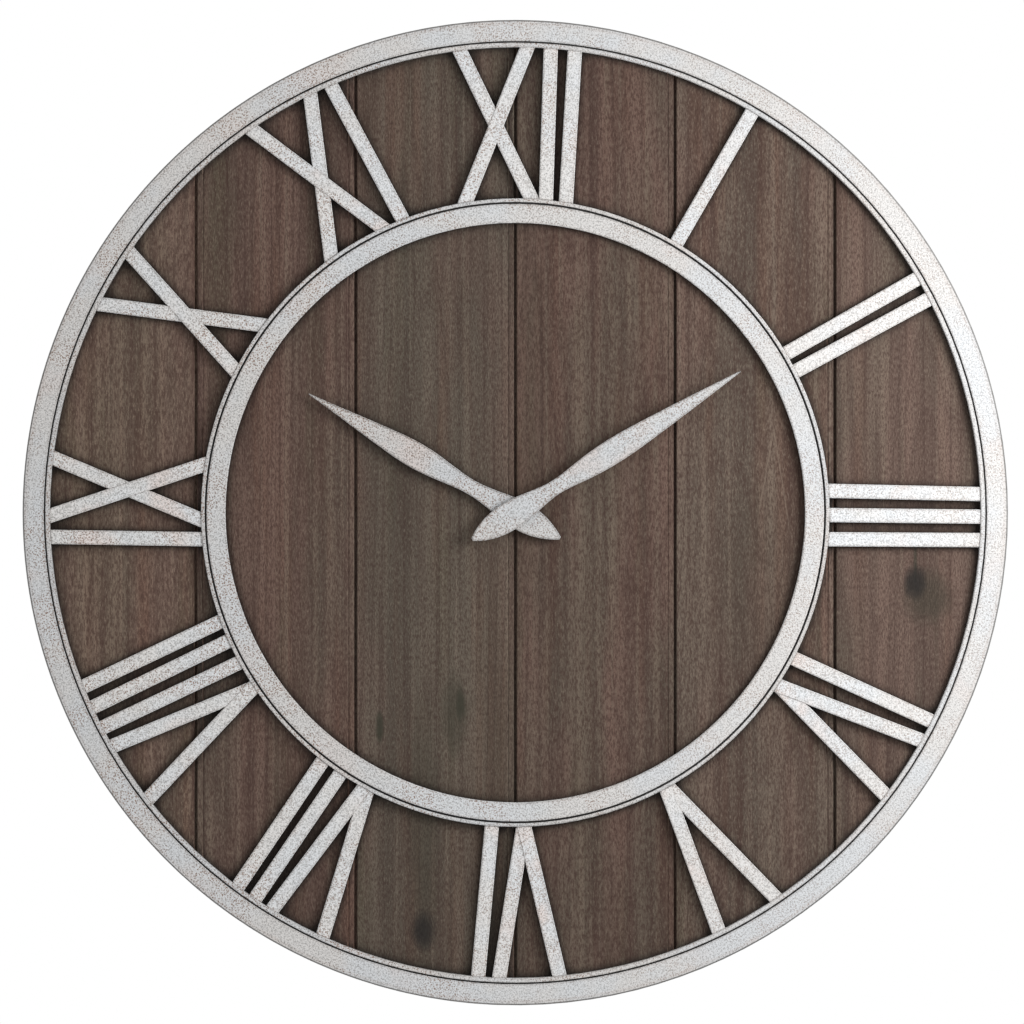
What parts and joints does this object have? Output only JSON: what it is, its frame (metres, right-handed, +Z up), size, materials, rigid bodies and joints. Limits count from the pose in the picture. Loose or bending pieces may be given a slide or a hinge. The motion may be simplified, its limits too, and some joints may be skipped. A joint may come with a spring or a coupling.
{
  "type": "wall clock",
  "caption": "Round farmhouse wall clock: dark plank dial, pale metal hoop and Roman numeral cage, two leaf hands, quartz movement and keyhole hanger behind.",
  "frame": {"origin": "centre of the keyhole slot's round top end, where the wall screw's shank seats, on the plane of the wall", "axes": "+Z up, -Y out of the wall towards the reader, so +X is to the right of someone reading the clock"},
  "size_m": [0.61, 0.044, 0.61],
  "materials": {
    "distressed_metal": "matt white wash over galvanised steel, rust flecks",
    "hoop_steel": "matt white wash over galvanised steel, rust flecks",
    "weathered_boards": "dark grey-brown weathered softwood",
    "batten_wood": "sawn pine",
    "zinc_steel": "bright zinc plate",
    "black_plastic": "fine moulded texture",
    "gear_plastic": "natural acetal",
    "brass": "turned",
    "black_rubber": "matt",
    "copper_wire": "enamelled winding",
    "silicon_steel": "stamped",
    "board_green": "solder resist",
    "crystal_can": "drawn can",
    "cell_sleeve": "printed sleeve, no lettering",
    "contact_nickel": "nickel plate"
  },
  "bodies": {
    "clock_body": {"outer_hoop": "hoop_steel", "hoop_flange": "hoop_steel", "outer_band": "distressed_metal", "inner_band": "distressed_metal", "face_ring": "distressed_metal", "numeral_01": "distressed_metal", "numeral_02": "distressed_metal", "numeral_03": "distressed_metal", "numeral_04": "distressed_metal", "numeral_05": "distressed_metal", "numeral_06": "distressed_metal", "numeral_07": "distressed_metal", "numeral_08": "distressed_metal", "numeral_09": "distressed_metal", "numeral_10": "distressed_metal", "numeral_11": "distressed_metal", "numeral_12": "distressed_metal", "board_1": "weathered_boards", "board_2": "weathered_boards", "board_3": "weathered_boards", "board_4": "weathered_boards", "board_5": "weathered_boards", "board_6": "weathered_boards", "upper_batten": "batten_wood", "lower_batten": "batten_wood", "batten_screws": "zinc_steel", "hanger_screws": "zinc_steel", "hanger_plate": "zinc_steel", "panel_clips": "zinc_steel", "clip_screws": "zinc_steel", "ring_studs": "zinc_steel", "stud_washers": "zinc_steel", "stud_nuts": "zinc_steel", "movement_case": "black_plastic", "movement_cover": "black_plastic", "gear_bridge": "gear_plastic", "threaded_bush": "brass", "dial_washer": "brass", "dial_nut": "brass", "rubber_seat": "black_rubber", "coil": "copper_wire", "stator": "silicon_steel", "circuit_board": "board_green", "quartz_crystal": "crystal_can", "positive_contact": "contact_nickel", "negative_contact": "contact_nickel"},
    "minute_hand_on_pipe": {"minute_pipe": "brass", "minute_hand": "distressed_metal", "minute_hand_collet": "brass"},
    "hour_hand_on_wheel": {"hour_wheel": "gear_plastic", "hour_hand": "distressed_metal", "hour_hand_collet": "brass"},
    "minute_wheel_arbor": {"minute_wheel": "gear_plastic"},
    "setting_arbor": {"setting_knob": "black_plastic"},
    "seconds_arbor": {"seconds_wheel": "gear_plastic"},
    "third_arbor": {"third_wheel": "gear_plastic"},
    "centre_arbor": {"centre_wheel": "gear_plastic"},
    "intermediate_arbor": {"intermediate_wheel": "gear_plastic"},
    "rotor_arbor": {"rotor": "silicon_steel"},
    "cell": {"battery": "cell_sleeve"}
  },
  "joints": [
    {"name": "minute_hand_turn", "type": "hinge", "parent": "clock_body", "child": "minute_hand_on_pipe", "pos_m": [0, 0, -0.154], "axis": [0, 1, 0], "continuous": true},
    {"name": "hour_hand_turn", "type": "hinge", "parent": "clock_body", "child": "hour_hand_on_wheel", "pos_m": [0, 0, -0.154], "axis": [0, 1, 0], "continuous": true},
    {"name": "minute_wheel_turn", "type": "hinge", "parent": "clock_body", "child": "minute_wheel_arbor", "pos_m": [0.01034, 0, -0.15024], "axis": [0, 1, 0], "continuous": true},
    {"name": "setting_knob_turn", "type": "hinge", "parent": "clock_body", "child": "setting_arbor", "pos_m": [0.018, 0, -0.14111], "axis": [0, 1, 0], "continuous": true},
    {"name": "seconds_wheel_turn", "type": "hinge", "parent": "clock_body", "child": "seconds_arbor", "pos_m": [0, 0, -0.154], "axis": [0, 1, 0], "continuous": true},
    {"name": "third_wheel_turn", "type": "hinge", "parent": "clock_body", "child": "third_arbor", "pos_m": [-0.00896, 0, -0.14883], "axis": [0, 1, 0], "continuous": true},
    {"name": "centre_wheel_turn", "type": "hinge", "parent": "clock_body", "child": "centre_arbor", "pos_m": [0, 0, -0.154], "axis": [0, 1, 0], "continuous": true},
    {"name": "intermediate_wheel_turn", "type": "hinge", "parent": "clock_body", "child": "intermediate_arbor", "pos_m": [0.00525, 0, -0.14491], "axis": [0, 1, 0], "continuous": true},
    {"name": "rotor_turn", "type": "hinge", "parent": "clock_body", "child": "rotor_arbor", "pos_m": [0.00217, 0, -0.13645], "axis": [0, 1, 0], "continuous": true},
    {"name": "battery_slide", "type": "slide", "parent": "clock_body", "child": "cell", "axis": [0, 1, 0], "range_m": [0, 0.03]}
  ],
  "couplings": [
    {"joint": "minute_wheel_turn", "follows": "minute_hand_turn", "ratio": -0.33333},
    {"joint": "hour_hand_turn", "follows": "minute_hand_turn", "ratio": 0.083333},
    {"joint": "setting_knob_turn", "follows": "minute_hand_turn", "ratio": 0.75},
    {"joint": "third_wheel_turn", "follows": "seconds_wheel_turn", "ratio": -0.13333},
    {"joint": "centre_wheel_turn", "follows": "seconds_wheel_turn", "ratio": 0.016667},
    {"joint": "intermediate_wheel_turn", "follows": "seconds_wheel_turn", "ratio": -6},
    {"joint": "rotor_turn", "follows": "seconds_wheel_turn", "ratio": 30}
  ]
}
